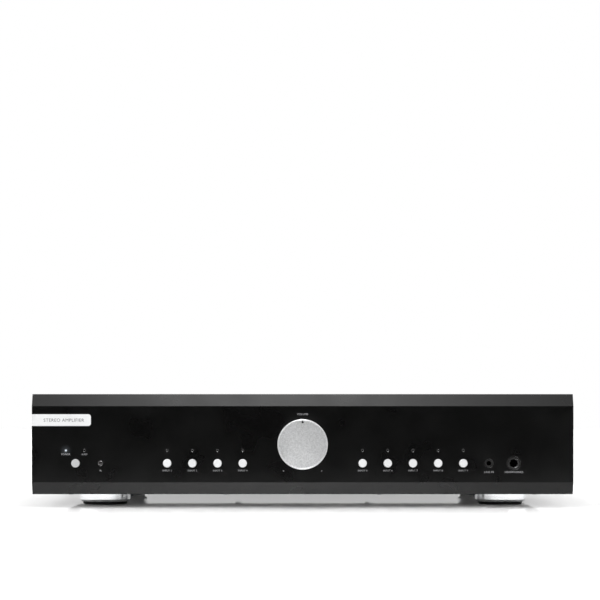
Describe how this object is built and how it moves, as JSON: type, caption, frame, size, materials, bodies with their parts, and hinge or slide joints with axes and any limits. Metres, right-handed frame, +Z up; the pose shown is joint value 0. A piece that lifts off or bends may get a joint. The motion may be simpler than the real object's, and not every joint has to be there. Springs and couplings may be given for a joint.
{
  "type": "stereo amplifier",
  "caption": "Full-width black stereo amplifier with a large silver centre knob, a line of small round push buttons, two front sockets and round silver feet.",
  "frame": {"origin": "on the ground, under the middle of the whole object's box", "axes": "+X towards the right end of the front panel, +Y from the front to the back, +Z up"},
  "size_m": [0.44, 0.378, 0.0925],
  "materials": {
    "black_anodised": "fine satin, bead blasted and anodised black",
    "plate_metal": "bright satin",
    "knob_metal": "satin, fine bead-blasted face with a bright turned edge",
    "button_metal": "bright satin",
    "black_steel": "fine-textured black powder coat",
    "zinc_steel": "zinc-plated sheet",
    "foot_chrome": "bright plated ring",
    "foot_rubber": "matt",
    "screw_black": "blackened steel",
    "screw_zinc": "zinc plated",
    "brass": "turned",
    "gold_plate": "gold-coloured plating",
    "nickel": "nickel plating",
    "black_plastic": "satin moulded",
    "light_guide": "clear moulded rod",
    "lit_guide": "clear moulded rod, lit cool white",
    "eye_filter": "dark infrared filter",
    "circuit_board": "green solder mask",
    "capacitor_sleeve": "shrink sleeve",
    "copper_tape": "wound and taped",
    "wire_sheath": "soft sheath",
    "cable_grey": "flat cable",
    "cap_red": "moulded",
    "cap_black": "moulded"
  },
  "bodies": {
    "cabinet": {"front_panel": "black_anodised", "name_plate": "plate_metal", "front_subpanel": "zinc_steel", "base_tray": "black_steel", "rear_panel": "black_steel", "top_cover": "black_steel", "cover_screws": "screw_black", "chassis_screws": "screw_zinc", "board_screws": "screw_zinc", "foot_pads": "foot_rubber", "foot_screws": "screw_zinc", "volume_control": "zinc_steel", "control_nut": "screw_zinc", "control_board": "circuit_board", "push_switches": "black_plastic", "source_lights": "light_guide", "power_light": "lit_guide", "standby_light": "light_guide", "remote_eye": "eye_filter", "line_in_socket": "black_plastic", "headphone_socket": "black_plastic", "headphone_board": "circuit_board", "amplifier_board": "circuit_board", "board_standoffs": "brass", "heat_sink": "black_anodised", "power_transistors": "black_plastic", "filter_capacitors": "capacitor_sleeve", "transformer": "copper_tape", "transformer_washers": "zinc_steel", "transformer_bolt": "screw_zinc", "input_board": "circuit_board", "ribbon_cable": "cable_grey", "mains_wires": "wire_sheath", "phono_sockets": "nickel", "digital_sockets": "black_plastic", "mains_inlet": "black_plastic", "rocker_frame": "black_plastic", "speaker_posts": "gold_plate", "foot_ring_1": "foot_chrome", "foot_ring_2": "foot_chrome", "foot_ring_3": "foot_chrome", "foot_ring_4": "foot_chrome"},
    "volume_knob": {"volume_knob": "knob_metal", "knob_set_screw": "screw_black", "volume_shaft": "zinc_steel"},
    "mains_rocker": {"mains_rocker": "black_plastic"},
    "power_button": {"power_button": "button_metal"},
    "speaker_cap_1": {"speaker_cap_1": "cap_red"},
    "speaker_cap_2": {"speaker_cap_2": "cap_black"},
    "speaker_cap_3": {"speaker_cap_3": "cap_red"},
    "speaker_cap_4": {"speaker_cap_4": "cap_black"},
    "source_button_1": {"source_button_1": "button_metal"},
    "source_button_2": {"source_button_2": "button_metal"},
    "source_button_3": {"source_button_3": "button_metal"},
    "source_button_4": {"source_button_4": "button_metal"},
    "source_button_5": {"source_button_5": "button_metal"},
    "source_button_6": {"source_button_6": "button_metal"},
    "source_button_7": {"source_button_7": "button_metal"},
    "source_button_8": {"source_button_8": "button_metal"},
    "source_button_9": {"source_button_9": "button_metal"}
  },
  "joints": [
    {"name": "knob_turn", "type": "hinge", "parent": "cabinet", "child": "volume_knob", "pos_m": [0, -0.168, 0.0519], "axis": [0, 1, 0], "range_deg": [-143, 143]},
    {"name": "power_press", "type": "slide", "parent": "cabinet", "child": "power_button", "axis": [0, 1, 0], "range_m": [0, 0.0009], "stiffness_N_per_m": 1200, "springref_m": -0.0005},
    {"name": "rocker_tilt", "type": "hinge", "parent": "cabinet", "child": "mains_rocker", "pos_m": [-0.145, 0.1705, 0.05], "axis": [1, 0, 0], "range_deg": [0, 20]},
    {"name": "source_1_press", "type": "slide", "parent": "cabinet", "child": "source_button_1", "axis": [0, 1, 0], "range_m": [0, 0.0009], "stiffness_N_per_m": 1200, "springref_m": -0.0005},
    {"name": "source_2_press", "type": "slide", "parent": "cabinet", "child": "source_button_2", "axis": [0, 1, 0], "range_m": [0, 0.0009], "stiffness_N_per_m": 1200, "springref_m": -0.0005},
    {"name": "source_3_press", "type": "slide", "parent": "cabinet", "child": "source_button_3", "axis": [0, 1, 0], "range_m": [0, 0.0009], "stiffness_N_per_m": 1200, "springref_m": -0.0005},
    {"name": "source_4_press", "type": "slide", "parent": "cabinet", "child": "source_button_4", "axis": [0, 1, 0], "range_m": [0, 0.0009], "stiffness_N_per_m": 1200, "springref_m": -0.0005},
    {"name": "source_5_press", "type": "slide", "parent": "cabinet", "child": "source_button_5", "axis": [0, 1, 0], "range_m": [0, 0.0009], "stiffness_N_per_m": 1200, "springref_m": -0.0005},
    {"name": "source_6_press", "type": "slide", "parent": "cabinet", "child": "source_button_6", "axis": [0, 1, 0], "range_m": [0, 0.0009], "stiffness_N_per_m": 1200, "springref_m": -0.0005},
    {"name": "source_7_press", "type": "slide", "parent": "cabinet", "child": "source_button_7", "axis": [0, 1, 0], "range_m": [0, 0.0009], "stiffness_N_per_m": 1200, "springref_m": -0.0005},
    {"name": "source_8_press", "type": "slide", "parent": "cabinet", "child": "source_button_8", "axis": [0, 1, 0], "range_m": [0, 0.0009], "stiffness_N_per_m": 1200, "springref_m": -0.0005},
    {"name": "source_9_press", "type": "slide", "parent": "cabinet", "child": "source_button_9", "axis": [0, 1, 0], "range_m": [0, 0.0009], "stiffness_N_per_m": 1200, "springref_m": -0.0005},
    {"name": "speaker_cap_1_turn", "type": "hinge", "parent": "cabinet", "child": "speaker_cap_1", "pos_m": [-0.112, 0.172, 0.05], "axis": [0, 1, 0], "range_deg": [0, 720]},
    {"name": "speaker_cap_2_turn", "type": "hinge", "parent": "cabinet", "child": "speaker_cap_2", "pos_m": [-0.093, 0.172, 0.05], "axis": [0, 1, 0], "range_deg": [0, 720]},
    {"name": "speaker_cap_3_turn", "type": "hinge", "parent": "cabinet", "child": "speaker_cap_3", "pos_m": [-0.06, 0.172, 0.05], "axis": [0, 1, 0], "range_deg": [0, 720]},
    {"name": "speaker_cap_4_turn", "type": "hinge", "parent": "cabinet", "child": "speaker_cap_4", "pos_m": [-0.041, 0.172, 0.05], "axis": [0, 1, 0], "range_deg": [0, 720]}
  ]
}
